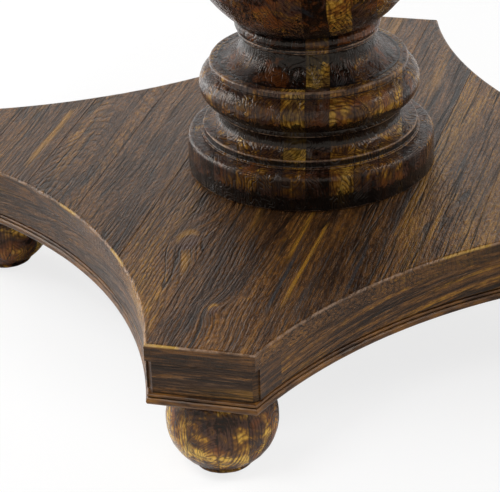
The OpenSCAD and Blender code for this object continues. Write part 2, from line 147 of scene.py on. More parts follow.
# %% A finish that is being made
class Finish:
    """One material or world. add() makes any node, and the other methods name the few that are used often."""

    def __init__(self, name, kind="materials"):
        self.owner = getattr(bpy.data, kind).new(name)
        self.owner.use_nodes = True
        self.tree = self.owner.node_tree
        self.tree.nodes.clear()

    def add(self, kind, settings=None, inputs=None, out=0):
        """One node: its type, its settings, then the values or links of its sockets.

        Gives the output that out names or numbers."""
        node = self.tree.nodes.new("ShaderNode" + kind)
        for name, value in (settings or {}).items():
            if name == "stops":
                ramp = node.color_ramp.elements
                for at, colour in value[2:]:
                    ramp.new(at)
                for element, (at, colour) in zip(ramp, value):
                    element.position = at
                    element.color = (*colour, 1)
            elif name == "interpolation":
                node.color_ramp.interpolation = value
            else:
                setattr(node, name, value)
        for name, value in (inputs or {}).items():
            if isinstance(value, Value):
                self.tree.links.new(value.out, node.inputs[name])
            else:
                node.inputs[name].default_value = value
        return Value(self, node.outputs[out])

    def place(self):
        """Where a point of the object lies, in the table's own frame."""
        return self.add("TexCoord", out="Object")

    def split(self, vector):
        node = self.add("SeparateXYZ", inputs={0: vector}).out.node
        return [Value(self, socket) for socket in node.outputs]

    def join(self, x, y, z):
        return self.add("CombineXYZ", inputs={0: x, 1: y, 2: z})

    def stretch(self, vector, factors):
        return self.add("VectorMath", {"operation": "MULTIPLY"}, {0: vector, 1: factors})

    def shift(self, vector, offset):
        return self.add("VectorMath", {"operation": "ADD"}, {0: vector, 1: offset})

    def turn(self, vector, angle):
        """The vector turned about Z."""
        return self.add("Mapping", {"vector_type": "POINT"}, {"Vector": vector, "Rotation": (0, 0, angle)})

    def noise(self, vector, detail=2.0, roughness=0.5, distortion=0.0):
        sockets = {"Vector": vector, "Scale": 1.0, "Detail": detail, "Roughness": roughness}
        return self.add("TexNoise", inputs={**sockets, "Distortion": distortion})

    def band(self, value, low, high):
        """Rises smoothly from 0 where value is low to 1 where it is high."""
        inputs = {0: value, 1: low, 2: high, 3: 0.0, 4: 1.0}
        return self.add("MapRange", {"interpolation_type": "SMOOTHSTEP"}, inputs)

    def ramp(self, value, stops, interpolation="LINEAR"):
        return self.add("ValToRGB", {"stops": stops, "interpolation": interpolation}, {0: value})

    def blend(self, share, first, second):
        """Colour mix: all first where share is 0, all second where it is 1."""
        first, second = (c if isinstance(c, Value) else (*c, 1) for c in (first, second))
        return self.add("Mix", {"data_type": "RGBA"}, {0: share, 6: first, 7: second}, out=2)

    def surface(self, colour, roughness, height, relief, **fixed):
        """Ends the material in one Principled shader. The bumps of the height are relief deep, in metres."""
        bump = self.add("Bump", inputs={"Height": height, "Distance": relief, "Strength": 1.0})
        inputs = {"Base Color": colour, "Roughness": roughness, "Normal": bump, **fixed}
        return self.end(self.add("BsdfPrincipled", inputs=inputs))

    def end(self, shader, kind="OutputMaterial"):
        """Joins the shader to the output, and gives the material or world."""
        self.tree.links.new(shader.out, self.tree.nodes.new("ShaderNode" + kind).inputs["Surface"])
        return self.owner


# %% [markdown]
# ## Grain
# Solid wood is not a picture glued on a board. Its rings run through the piece, so a pattern worked out
# in space and cut by the surface gives straight lines along a board, arches where the rings come up,
# and end grain at the ends without any extra work. The grain vector below has the fibres along its
# third axis. The rings are shells about a pith that lies below the board and leans a little, and a
# noise that is stretched along the fibres sways them. Pores and brush marks are a much finer noise,
# stretched further and swayed with the rings, and a curl crosses them.

# %% The grain of solid wood
TAU = 2 * math.pi


def wood_grain(f, grain, rings):
    """Late wood, fibres, curl, pores, clouds, streaks and splits, each from 0 to 1.

    grain is a vector in metres whose third axis runs along the fibres, and rings rises by one from ring to
    ring. The factors that stretch the grain say how often a pattern changes in a metre, across the fibres and
    along them."""
    swell = f.noise(f.stretch(grain, (9, 9, 2.2)), detail=2)
    flutter = f.noise(f.stretch(grain, (55, 55, 18)), detail=3)
    sway = f.join((swell - 0.5) * 0.03 + (flutter - 0.5) * 0.0038, 0.0, 0.0)
    bent = f.shift(grain, sway)
    turns = (rings + (swell - 0.5) * 6 + (flutter - 0.5) * 1.6) * TAU
    faint = f.noise(f.stretch(grain, (45, 45, 9)), detail=2)
    split = f.noise(f.stretch(bent, (36, 36, 1.5)), detail=2)
    return {
        "late": (turns.math("SINE") * 0.5 + 0.5) ** 3 * f.band(faint, 0.34, 0.54),
        "fibre": f.noise(f.stretch(bent, (540, 540, 24)), detail=3, roughness=0.6),
        "curl": f.noise(f.stretch(bent, (330, 330, 110)), detail=3, roughness=0.7),
        "pore": f.band(f.noise(f.stretch(bent, (300, 300, 5)), detail=2, roughness=0.6), 0.6, 0.66),
        "cloud": f.noise(f.stretch(bent, (15, 15, 2.6)), detail=3, roughness=0.55),
        "streak": f.noise(f.stretch(bent, (130, 130, 3.5)), detail=3, roughness=0.6),
        "split": f.band(abs_from(split, 0.5), 0.014, 0.004) * f.band(faint, 0.4, 0.5),
    }


def abs_from(value, middle):
    """Distance of a value from a number."""
    return (value - middle).math("ABSOLUTE")


# %% [markdown]
# ## Lacquered boards
# The boards are stained a dark brown, brushed until the fibres stand out, and lacquered to a half
# gloss. Under the lacquer the colour is a warm, saturated brown: the grey that shows on it comes from
# the pale room mirrored in it at a low angle, so the shader has to bring the reflection and the paint
# must not. Each board gets its own finish with its own place in the pattern, so no line of grain runs
# over a seam.

# %% Colours of the wood
COAL = (0.005, 0.0035, 0.003)
DARK = (0.024, 0.010, 0.0045)
BROWN = (0.095, 0.041, 0.013)
WARM = (0.19, 0.080, 0.016)
GOLD = (0.37, 0.18, 0.022)
BRIGHT = (0.72, 0.43, 0.07)
RUST = (0.030, 0.009, 0.0025)
MAUVE = (0.075, 0.036, 0.026)
EMBER = (0.26, 0.075, 0.014)
SLATE = (0.028, 0.030, 0.034)
PALE = (0.24, 0.13, 0.06)
WORN_AND_HIGHLIGHT = (0.46, 0.30, 0.20)
LACQUER = {"Specular IOR Level": 0.25, "Specular Tint": (1.0, 0.88, 0.76, 1.0)}

# %% The run of the fibres
RING = 0.0048
SLANT = 0.09


def run_of_fibres(f, place, middle, angle, bend):
    """Coordinates across and along the fibres and upwards, and where the piece's middle lies across them.

    The fibres run along Y, turned by angle towards X. With bend they follow the hollow side about that centre
    and climb a little on the way: across is then the radius, and along is measured round the curve."""
    if not bend:
        x, y, z = f.split(f.turn(place, angle))
        return x, y, z, middle.x * math.cos(angle) - middle.y * math.sin(angle)
    x, y, z = f.split(f.shift(place, (-bend[0], -bend[1], 0.0)))
    radius = (x ** 2 + y ** 2) ** 0.5
    along = (x * bend[1] - y * bend[0]) / (radius * (ARC_C * math.sqrt(2))) * ARC_R
    return radius, along, z + along * SLANT, ARC_R


def flow_round(f, knots, x, y, rings):
    """Bends fibres and rings round each knot, and gives the knots' cores and the glow beside them.

    A knot is x, y and size: an ellipse nearly twice as long as wide, whose pull fades as exp(-0.35 d²)."""
    core = glow = 0.0
    for knot_x, knot_y, size in knots:
        long = 1.8 * size
        away = ((x - knot_x) / size) ** 2 + ((y - knot_y) / long) ** 2
        beside = ((x - knot_x + 0.25 * size) / size) ** 2 + ((y - knot_y - 0.6 * size) / long) ** 2
        near = (away * -0.35).math("EXPONENT")
        rings = rings + near * 2
        x = x + near * size
        core = f.band(away, 0.4, 0.2) + core
        glow = f.band(beside, 0.5, 0.1) + glow
    return x, rings, core, glow


def long_lines(f, colour, lines, x, y, wood):
    """Paints lines along the fibres: x, first y, last y, half width and colour of each."""
    waver = (wood["cloud"] - 0.5) * 0.012
    for line_x, start, end, width, paint in lines:
        there = f.band(y, start, start + 0.05) * f.band(y, end, end - 0.03)
        there = there * f.band(wood["streak"], 0.35, 0.5)
        on_it = f.band(abs_from(x + waver, line_x), width, width * 0.4)
        colour = f.blend(on_it * there * 0.8, colour, paint)
    return colour


# %% Ends, and worn edges with a painted highlight
# Where the edge of the platform is rubbed through to the golden wood, and a golden highlight is painted too:
# x, y and size.
GILT_AND_HIGHLIGHT = (
    (-0.04, -0.497, 0.03),
    (0.236, -0.210, 0.04),
    (-0.249, -0.193, 0.025),
    (-0.155, -0.296, 0.025),
    (-0.236, 0.210, 0.03),
)


def end_grain(f, place, offset, angle, bend):
    """Where a surface cuts the fibres across, and the fine layers that it shows there."""
    facing = f.split(f.turn(f.add("TexCoord", out="Normal"), angle))[1].math("ABSOLUTE")
    cut = f.band(facing, 0.5, 0.8) * (0.0 if bend else 1.0)
    layer = f.noise(f.stretch(f.shift(place, offset), (24, 24, 330)), detail=4, roughness=0.62)
    return cut, layer


def outline_depth(f, place):
    """How far a point lies inside the platform's outline, from the hollow side or the corner face."""
    x, y, _ = (part.math("ABSOLUTE") for part in f.split(place))
    hollow = ((x - ARC_C) ** 2 + (y - ARC_C) ** 2) ** 0.5 - ARC_R
    return hollow.math("MINIMUM", REACH - x.math("MAXIMUM", y))


def worn_edge_and_highlight(f, name, place, colour, top):
    """Paints wear with a highlight on the outline's edge at the height top: pale all along, and golden at the
    listed places.
    """
    x, y, z = f.split(place)
    rub = f.noise(f.stretch(place, (60, 60, 60)), detail=4, roughness=0.65)
    edge = f.band(outline_depth(f, place), 0.0034, 0.0016) * f.band(z, top - 0.0035, top - 0.001)
    colour = f.blend(edge * (f.band(rub, 0.4, 0.6) * 0.5 + 0.1), colour, WORN_AND_HIGHLIGHT)
    low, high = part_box(name)
    for gilt_x, gilt_y, size in GILT_AND_HIGHLIGHT:
        if low.x - size < gilt_x < high.x + size:
            far = ((x - gilt_x) ** 2 + (y - gilt_y) ** 2) ** 0.5 / size
            colour = f.blend(edge * f.band(far + (rub - 0.5) * 1.5, 1.0, 0.6) * 0.6, colour, BRIGHT)
    return colour


# %% The finish of a sawn piece
def board_finish(name, seed, angle=0.0, top=None, tone=0.0, bold=0.8, patchy=1.1, gloss=0.34, heart=None,
                 knots=(), lines=(), bend=None):
    """Finish of a sawn piece whose fibres run as run_of_fibres says.

    tone makes it lighter, and bold and patchy are how strongly the streaks and clouds show. heart places the
    pith: how far beside the piece's middle, how deep, and how fast it sinks along the fibres. Without heart
    that is left to chance. With top, the upper edge at that height is worn, and given a painted highlight."""
    f = Finish(name)
    place = f.place()
    low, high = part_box(name)
    middle = (low + high) / 2
    rng = np.random.default_rng(seed)
    offset = tuple(rng.uniform(-9, 9, 3))
    if heart is None:
        side = rng.choice((-1, 1))
        heart = (side * rng.uniform(0.05, 0.1), rng.uniform(0, 0.04), rng.uniform(-0.1, 0.1))
    pith, deep, lean = heart
    x, y, z, middle_x = run_of_fibres(f, place, middle, angle, bend)
    across = x - (middle_x + pith)
    depth = (z - middle.z) * 0.9 + y * lean + deep
    rings = (across ** 2 + depth ** 2) ** 0.5 / RING
    x, rings, core, glow = flow_round(f, knots, x, y, rings)
    grain = f.shift(f.join(x, z, y), offset)
    wood = wood_grain(f, grain, rings)
    shade = (wood["cloud"] - 0.5) * patchy + (wood["streak"] - 0.5) * bold + (wood["curl"] - 0.5) * 1.1
    colour = f.ramp(shade + (tone + 0.5), [(0.2, DARK), (0.42, BROWN), (0.62, WARM), (0.84, GOLD)])
    gilt = f.noise(f.shift(f.stretch(grain, (32, 32, 2.4)), (7.0, 0.0, 0.0)), detail=2)
    colour = f.blend(f.band(gilt, 0.6, 0.74) * 0.55, colour, GOLD)
    colour = f.blend(f.band(wood["fibre"], 0.47, 0.38) * 0.3, colour, PALE)
    colour = f.blend(f.band(wood["fibre"], 0.48, 0.6) * 0.6, colour, COAL)
    colour = f.blend(wood["late"] * 0.6, colour, DARK)
    colour = long_lines(f, colour, lines, x, y, wood)
    colour = f.blend(wood["pore"] * 0.8, colour, COAL)
    colour = f.blend(wood["split"] * 0.8, colour, COAL)
    if knots:
        colour = f.blend(glow * 0.8, colour, GOLD)
        colour = f.blend(core * 0.85, colour, MAUVE)
    cut, layer = end_grain(f, place, offset, angle, bend)
    ends = f.ramp(layer, [(0.36, COAL), (0.48, DARK), (0.58, BROWN), (0.74, WARM)])
    colour = f.blend(cut * 0.85, colour, ends)
    # The upper edge gets wear and a painted highlight.
    if top is not None:
        colour = worn_edge_and_highlight(f, name, place, colour, top)
    height = wood["fibre"] * 0.5 + wood["curl"] * 1.15 - wood["late"] * 0.25 - wood["pore"] * 0.3
    height = height - wood["split"] * 0.5
    height = height + (layer * 0.8 - height) * cut
    roughness = wood["fibre"] * 0.3 + (gloss - 0.15) + wood["pore"] * 0.15
    return f.surface(colour, roughness, height, 0.0012, **LACQUER)


def finish_node(node, material):
    """Gives a piece of the model its finish. Its mesh stays as it is."""
    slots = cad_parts[node].data.materials
    slots.clear()
    slots.append(material)


# %% Finish the platform boards
HEARTS = {3: (-0.004, 0.07, 0.22)}
KNOTS = {5: ((-0.083, -0.248, 0.02),), 6: ((-0.009, -0.399, 0.009),), 9: ((0.27, 0.02, 0.013),)}
# Lighter or darker boards. Boards 8 to 11, on the right, are made lighter as painted light, since more light
# falls on the platform's right side.
TONE_AND_LIGHT = {5: 0.09, 6: -0.05, 7: -0.11, 8: 0.16, 9: 0.2, 10: 0.1, 11: 0.1}
LINES = {
    2: ((-0.341, -0.10, 0.10, 0.006, GOLD),),
    5: ((-0.064, -0.34, -0.26, 0.006, GOLD),),
    6: (
        (0.006, -0.42, -0.19, 0.0015, COAL),
        (0.040, -0.28, -0.13, 0.0028, GOLD),
        (0.046, -0.42, -0.19, 0.0035, SLATE),
    ),
    7: (
        (0.062, -0.40, -0.16, 0.003, GOLD),
        (0.081, -0.42, -0.23, 0.0045, SLATE),
        (0.12, -0.36, -0.2, 0.003, SLATE),
    ),
    8: ((0.183, -0.21, -0.09, 0.003, GOLD),),
}
for number, node in enumerate(boards, 1):
    tone = 0.02 * (number % 3 - 1) + TONE_AND_LIGHT.get(number, 0.0)
    marked = {"heart": HEARTS.get(number), "knots": KNOTS.get(number, ()), "lines": LINES.get(number, ())}
    finish_node(node, board_finish(node, 20 + number, 0, PLATFORM_Z, tone, bold=0.6, gloss=0.29, **marked))
print("platform boards finished:", len(boards))

# %% [markdown]
# ## Frieze, rails, bearers and top
# The same finish serves every sawn piece; only the run of the fibres differs. The corner blocks are cut
# along their face. The hollow rails are faced with strips that follow the curve, so their fibres run
# about the centre of the hollow, and slant a little.

# %% Other sawn pieces
QUARTER = math.pi / 2
for number, corner in enumerate(CORNERS):
    node = f"corner_block_{corner}"
    finish_node(node, board_finish(node, 40 + number, QUARTER * (1 - number % 2), tone=-0.2, bold=2.2))
for number, side in enumerate(SIDES):
    node = f"side_rail_{side}"
    centre = (ARC_C if "right" in side else -ARC_C, ARC_C if "back" in side else -ARC_C)
    # Painted light: the left rails are made darker and the right ones lighter, since more light falls on the
    # right.
    tone = 0.02 if "right" in side else -0.22
    finish_node(node, board_finish(node, 50 + number, tone=tone, bold=1.8, bend=centre))
for node in ("cross_rail_long", "cross_rail_cross", "bearer_long", "bearer_cross"):
    angle = QUARTER if node.endswith("cross") else 0
    finish_node(node, board_finish(node, 60 + len(node), angle, gloss=0.45))
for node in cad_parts:
    if node.startswith("top_board_"):
        tone = 0.04 * (int(node[-1]) * 3 % 5 - 2) - 0.04
        finish_node(node, board_finish(node, 70 + int(node[-1]), tone=tone, patchy=0.6, gloss=0.24))
    if node.startswith("top_rim_"):
        middle = (int(node[-1]) - 0.5) * TAU / 6
        finish_node(node, board_finish(node, 80 + int(node[-1]), -middle, tone=-0.04, patchy=0.7, gloss=0.24))
print("corner blocks, side rails, cross rails, bearers, top boards and rim finished")

# %% [markdown]
# ## Strips glued side by side
# The column and the feet are turned from blanks that are glued up from square strips of many woods,
# from nearly black to golden. On a turned surface such a strip shows as an upright band, and its grain
# opens into curved flames wherever the profile cuts across it. So the finish first finds which strip a
# point lies in, by rounding its place across the grain down to a whole number, and a random number for
# that strip then picks its colour, its turn and its place in the grain.

# %% Find the strip
FINE_RING = 0.0036
# The number of the strip at the middle, large enough that no strip's number is negative.
MIDDLE = 50


def near_whole(value):
    """How far a value lies from the nearest whole number, from 0 to 0.5."""
    return 0.5 - (value.math("FRACT") - 0.5).math("ABSOLUTE")


def chosen_tone(f, i, order, tone):
    """The tones of order for the strips about the middle, and a duller share of the random tone elsewhere."""
    count = len(order)
    first = MIDDLE - count // 2
    stops = [(k / count, (shade,) * 3) for k, shade in enumerate(order)]
    chosen = f.ramp((i - first + 0.5) / count, stops, "CONSTANT")
    inside = f.band(abs_from(i, first + count / 2 - 0.5), count / 2, count / 2 - 0.02)
    tone = tone * 0.5 + 0.08
    return tone + (chosen - tone) * inside


def glued_strips(f, place, strip, angle, seed, centre, order):
    """The strip that a point lies in: its tone, its grain, its rings, and how near the next joint is.

    The strip's number is floor(x / width) in both directions. Each strip is turned about its length and
    shifted along it by its own random amounts."""
    wander = (f.noise(f.stretch(place, (9, 9, 5)), detail=2) - 0.5) * 0.3
    x, y, z = f.split(f.turn(f.shift(place, (-centre[0], -centre[1], 0.0)), angle))
    column = x / strip + wander + MIDDLE
    row = y / strip + wander + MIDDLE
    i, j = column.math("FLOOR"), row.math("FLOOR")
    chance = f.add("TexWhiteNoise", {"noise_dimensions": "3D"}, {"Vector": f.join(i, j, seed * 1.37)})
    tone, turn, start = f.split(Value(f, chance.out.node.outputs["Color"]))
    spin = turn * TAU
    cos, sin = spin.math("COSINE"), spin.math("SINE")
    across = x * cos + y * sin
    grain = f.join(across + seed * 0.71, y * cos - x * sin, z + start * 7.0)
    joint = near_whole(column).math("MINIMUM", near_whole(row))
    return chosen_tone(f, i, order, tone), grain, across / FINE_RING, joint


# %% The finish of turned parts
FLAMES = ((0.1, COAL), (0.22, RUST), (0.34, MAUVE), (0.46, BROWN), (0.58, WARM), (0.7, GOLD), (0.88, BRIGHT))


def strip_finish(name, strip, angle, seed, order, centre=(0.0, 0.0), glow=0.0, patchy=1.4, flecks=0.6):
    """Glued strips of the given width, whose joints are turned by angle about the upright through centre.

    order sets the tones of the strips about the middle, from 0 dark to 1 golden, and glow makes all strips
    lighter. patchy and flecks are how strongly broad blotches and fine flecks show. One point attribute
    paints shade nearly black into hollows and downward faces, mixed with random black patches, and
    another makes the ridges pale, as wear and a painted highlight."""
    f = Finish(name)
    place = f.place()
    tone, grain, rings, joint = glued_strips(f, place, strip, angle, seed, centre, order)
    wood = wood_grain(f, grain, rings)
    fleck = f.noise(f.stretch(place, (210, 210, 150)), detail=4, roughness=0.7, distortion=0.8)
    blotch = f.noise(f.stretch(place, (22, 22, 30)), detail=4, roughness=0.6, distortion=0.5)
    figure = f.noise(f.stretch(grain, (13, 13, 8)), detail=3, roughness=0.45, distortion=0.8)
    wave = (figure * (38 * TAU)).math("SINE")
    shade = tone * 0.55 + (wood["streak"] - 0.5) * 0.7 + (fleck - 0.5) * flecks + (blotch - 0.5) * patchy
    shade = shade + wave * 0.05 - wood["late"] * 0.1 + (0.19 + glow)
    colour = f.ramp(shade, FLAMES)
    tint = f.noise(f.shift(f.stretch(place, (30, 30, 24)), (3.0, 0.0, 0.0)), detail=3, distortion=0.6)
    colour = f.blend(f.band(tint, 0.55, 0.66) * 0.5, colour, EMBER)
    colour = f.blend(f.band(tint, 0.45, 0.35) * 0.5, colour, SLATE)
    colour = f.blend(wood["late"] * 0.5, colour, DARK)
    colour = f.blend(wood["pore"] * 0.55, colour, COAL)
    groove = (0.5 - wave * 0.5) ** 4 * (f.band(blotch, 0.4, 0.6) * 0.7 + 0.3)
    colour = f.blend(groove * 0.6, colour, COAL)
    colour = f.blend(f.band(joint, 0.035, 0.01) * 0.5, colour, COAL)
    # Painted shade: hollows and downward faces turn nearly black, mixed with random black patches of the
    # wood.
    recess, ridge = (f.add("Attribute", {"attribute_name": word}, out="Fac") for word in ("recess", "ridge"))
    burn_and_shade = f.band(recess + (fleck - 0.5) * 1.6 + (blotch - 0.5) * 1.4, 0.42, 0.54)
    colour = f.blend(burn_and_shade * 0.92, colour, COAL)
    # The ridges turn pale: wear, and a painted highlight along the arrises.
    wear_and_highlight = f.band(ridge + (blotch - 0.5) * 1.6 + (fleck - 0.5), 0.7, 1.1)
    colour = f.blend(wear_and_highlight * 0.5, colour, WORN_AND_HIGHLIGHT)
    lumps = f.noise(f.stretch(place, (85, 85, 65)), detail=2, roughness=0.4, distortion=1.0)
    height = lumps * 0.8 + wood["curl"] * 0.35 + wood["fibre"] * 0.15 - wood["late"] * 0.15 - groove * 0.5
    return f.surface(colour, wood["fibre"] * 0.12 + 0.1, height, 0.001, **LACQUER)


# %% [markdown]
# ## Turned members
# A turned piece is one outline carried round its axis. The outline is not drawn a second time here: it
# is read off the model's own solid, by slicing it at many heights and keeping the largest radius of
# each slice. Two things are then added that a plain solid lacks. The outline is smoothed over about a
# millimetre, so that the sharp ridges are rubbed soft and catch the light, and the skin sinks here and
# there by a few tenths of a millimetre, as a hand-finished turning does.

# %% Outline of a turned piece
STEP = 9e-4
RUB = 7e-4


def smoothed(line, step, width, reach):
    """The line's moving average over reach on either side, with Gaussian weights of the given width."""
    count = int(reach / step)
    weights = np.exp(-0.5 * (np.arange(-count, count + 1) * step / width) ** 2)
    padded = np.pad(line, ((count, count), (0, 0)), "reflect", reflect_type="odd")
    return np.stack([np.convolve(part, weights / weights.sum(), "valid") for part in padded.T], axis=1)


def outline(node, centre=(0.0, 0.0), step=STEP, rub=RUB):
    """Radius and height along a turned piece, bottom to top, in steps of equal length and rubbed soft.

    A slice at height h cuts each mesh edge that spans h in one point, found by linear interpolation, and the
    radius there is that point's distance from the axis."""
    slice_gap, inset = 2e-4, 0.006
    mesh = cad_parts[node].data
    points = vertices(node) - (*centre, 0.0)
    ends = np.empty(2 * len(mesh.edges), np.int32)
    mesh.edges.foreach_get("vertices", ends)
    a, b = points[ends.reshape(-1, 2)].transpose(1, 0, 2)
    radius_a, radius_b = np.hypot(a[:, 0], a[:, 1]), np.hypot(b[:, 0], b[:, 1])
    heights = np.arange(points[:, 2].min() + slice_gap / 10, points[:, 2].max(), slice_gap)
    rise = b[:, 2] - a[:, 2]
    share = (heights[:, None] - a[:, 2]) / np.where(rise == 0, 1, rise)
    hit = (share >= 0) & (share <= 1) & (rise != 0)
    radii = np.where(hit, radius_a + share * (radius_b - radius_a), 0).max(axis=1)
    radii = np.concatenate([[radii[0] - inset], radii, [radii[-1] - inset]])
    heights = np.concatenate([[heights[0]], heights, [heights[-1]]])
    length = np.concatenate([[0], np.cumsum(np.hypot(np.diff(radii), np.diff(heights)))])
    even = np.linspace(0, length[-1], int(length[-1] / step) + 1)
    line = np.stack([np.interp(even, length, radii), np.interp(even, length, heights)], axis=1)
    return smoothed(line, step, rub, 3 * rub + step)


def directions(line):
    """Unit vector along an outline at each point: the difference of its neighbours over its length."""
    along = np.gradient(line, axis=0)
    return along / np.linalg.norm(along, axis=1, keepdims=True)


def ripples(points, wavelength, seed, waves=14):
    """Smooth unevenness of about -1 to 1: a sum of sine waves in random directions, near one wavelength."""
    rng = np.random.default_rng(seed)
    ways = rng.normal(size=(waves, 3))
    lengths = wavelength * rng.uniform(0.7, 1.5, (waves, 1))
    ways *= TAU / (lengths * np.linalg.norm(ways, axis=1, keepdims=True))
    return np.sin(points @ ways.T + rng.uniform(0, TAU, waves)).sum(axis=1) / math.sqrt(waves)


# %% A closed skin from rings of points
def tube_faces(rows, columns):
    """Quads between neighbouring rows of a grid whose columns close on themselves, wound to face outwards."""
    i, j = np.meshgrid(np.arange(rows - 1) * columns, np.arange(columns), indexing="ij")
    k = (j + 1) % columns
    return np.stack([i + j, i + k, i + columns + k, i + columns + j], axis=-1).reshape(-1, 4)


def capped_faces(rows, columns):
    """The quads and, at either end, a fan of triangles to one more point. Those two come after the grid's."""
    ring = np.arange(columns)
    following = (ring + 1) % columns
    last = (rows - 1) * columns
    bottom = np.stack([following, ring, np.full(columns, rows * columns)], axis=1)
    top = np.stack([ring + last, following + last, np.full(columns, rows * columns + 1)], axis=1)
    return tube_faces(rows, columns).tolist() + bottom.tolist() + top.tolist()


def add_piece(name, points, faces, material, slot, *stands_for):
    """Links a mesh piece that rides on the table and stands for the nodes named."""
    mesh = bpy.data.meshes.new(name)
    mesh.from_pydata(points.tolist(), [], faces)
    mesh.shade_smooth()
    mesh.materials.append(material)
    piece = bpy.data.objects.new(name, mesh)
    bpy.context.scene.collection.objects.link(piece)
    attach(piece, "root")
    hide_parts(*stands_for)
    return piece


# %% Turn a piece
# How far behind the envelope the painted shade grows to its full strength.
SHADE_DEPTH = 0.008
RIDGE_WIDTH, RIDGE_HEIGHT = 0.0014, 0.00025
FADE = 0.008


def marks(line, envelope, underside_shade):
    """Where shade is painted on an outline, and where it makes a ridge that is worn pale and given a painted
    highlight, both from 0 to 1.

    The painted shade comes where the radius stays behind the envelope at that height, and by the given
    factor where the surface faces down, but little of it where the surface faces up. The ridge is how far
    the outline stands out from its own moving average."""
    along = directions(line)
    lean = along[:, 0]
    behind = (envelope(line[:, 1]) - line[:, 0]) / SHADE_DEPTH
    recess = (behind * (1 + 1.7 * lean.clip(-1, 0)).clip(0, 1) + underside_shade * lean.clip(0, 1)).clip(0, 1)
    off = line - smoothed(line, STEP, RIDGE_WIDTH, 0.0045)
    stand = off[:, 0] * along[:, 1] - off[:, 1] * along[:, 0]
    return recess, (stand / RIDGE_HEIGHT).clip(0, 1)


def sunk(grid, out, seed):
    """The grid sunk unevenly by a few tenths of a millimetre, and not at its two ends, where pieces meet."""
    flat = grid.reshape(-1, 3)
    sink = 1.4e-4 * (1 + ripples(flat, 0.03, seed)) + 0.9e-4 * (1 + ripples(flat, 0.009, seed + 1))
    ends = np.minimum(np.arange(len(grid)), np.arange(len(grid))[::-1])
    fade = np.clip(ends * STEP / FADE, 0, 1)[:, None, None]
    return grid - out * sink.clip(0).reshape(*grid.shape[:2], 1) * fade


def no_envelope(z):
    """The envelope of a piece that stands alone: nothing lies behind it."""
    return 0 * z


def turned_piece(name, node, material, slot, seed, centre=(0.0, 0.0), columns=240, envelope=no_envelope,
                 underside_shade=0.4):
    """The node's outline carried round its axis, x = r cos t and y = r sin t, with a point at either end."""
    line = outline(node, centre)
    t = np.linspace(0, TAU, columns, endpoint=False)
    r, z = line[:, :1], line[:, 1:]
    grid = np.stack([r * np.cos(t), r * np.sin(t), z + 0 * t], axis=-1)
    along = directions(line)
    out = np.stack([along[:, 1:] * np.cos(t), along[:, 1:] * np.sin(t), -along[:, :1] + 0 * t], axis=-1)
    caps = np.array([[0, 0, line[0, 1]], [0, 0, line[-1, 1]]])
    points = np.concatenate([sunk(grid, out, seed).reshape(-1, 3), caps]) + (*centre, 0.0)
    piece = add_piece(name, points, capped_faces(len(line), columns), material, slot, node)
    for word, values in zip(("recess", "ridge"), marks(line, envelope, underside_shade)):
        values = np.concatenate([np.repeat(values, columns), values[[0, -1]]])
        piece.data.attributes.new(word, "FLOAT", "POINT").data.foreach_set("value", values.astype(np.float32))
    print(f"{name}: {len(line)} rings of {columns} points")


# %% [markdown]
# ## Column
# The members of the column share one grid of strips, so the joints run through from the plinth to the
# cap, but each member was glued up from its own pieces, which differ in tone. The joints are turned a
# little against the platform.

# %% The column's envelope
MEMBERS = ("plinth", "base", "neck", "vase", "cap")
BALL = 0.036


def ball_envelope(step=0.001):
    """A function of the height: the radius that a ball rolled over column and platform can still touch.

    It is a closing: the largest of r(z + t) + b(t), then the smallest of that less b(t), where b is the half
    circle of the ball."""
    lines = np.concatenate([outline(f"column_{member}", step=step / 2, rub=step / 4) for member in MEMBERS])
    low, high = lines[:, 1].min(), lines[:, 1].max()
    bins = np.zeros(int((high - low) / step) + 2)
    np.maximum.at(bins, ((lines[:, 1] - low) / step).astype(int), lines[:, 0])
    bins[:int((PLATFORM_Z - low) / step)] = REACH
    reach = int(BALL / step)
    circle = np.sqrt((BALL ** 2 - (np.arange(-reach, reach + 1) * step) ** 2).clip(0))
    windows = np.lib.stride_tricks.sliding_window_view
    grown = (windows(np.pad(bins, reach), 2 * reach + 1) + circle).max(axis=1)
    touched = (windows(np.pad(grown, reach, "edge"), 2 * reach + 1) - circle).min(axis=1)
    heights = low + step * (np.arange(len(bins)) + 0.5)
    return lambda z: np.interp(z, heights, touched)


# The envelope says where painted shade darkens the column: where its surface stays behind it.
envelope = ball_envelope()
print(f"radius of the envelope 5 cm above the platform: {envelope(PLATFORM_Z + 0.05):.4f}")

# %% Turn the column
STRIP = 0.028
STRIP_TURN = math.radians(-12)
STRIP_TONES = {
    "plinth": (0.4, 0.4, 0.35, 0.6, 0.1, 0.74, 0.35, 0.55, 0.2),
    "base": (0.3, 0.5, 0.45, 0.86, 0.1, 0.7, 0.55, 0.66, 0.3),
    "neck": (0.5, 0.5, 0.3, 0.1, 1.25, 0.2, 0.5, 0.7, 0.5),
    "vase": (0.3, 0.4, 0.6, 0.55, 0.0, 0.98, 0.4, 0.85, 0.5),
    "cap": (0.3, 0.6, 0.25, 0.5, 0.35, 0.7, 0.3, 0.55, 0.4),
}
# GLOW lightens or darkens a whole member. The neck's is low as painted shade, for the table top and the vase
# keep light off its hollow.
GLOW = {"plinth": 0.02, "base": 0.06, "neck": -0.17, "vase": -0.05, "cap": 0.0}
# How strongly painted shade darkens each member's downward faces, most on the base, under its torus.
UNDERSIDE_SHADE = {"plinth": 0.5, "base": 1.4, "neck": 0.5, "vase": 0.5, "cap": 0.5}
for number, member in enumerate(MEMBERS):
    node = f"column_{member}"
    finish = strip_finish(node, STRIP, STRIP_TURN, 3, STRIP_TONES[member], glow=GLOW[member])
    shading = {"envelope": envelope, "underside_shade": UNDERSIDE_SHADE[member]}
    turned_piece(f"turned_{member}", node, finish, "column_wood", 10 * number, **shading)

# %% [markdown]
# ## Bun feet
# The feet are turned from the same kind of blank. Each has its own place in the pattern of strips, or
# the four of them would look like copies.

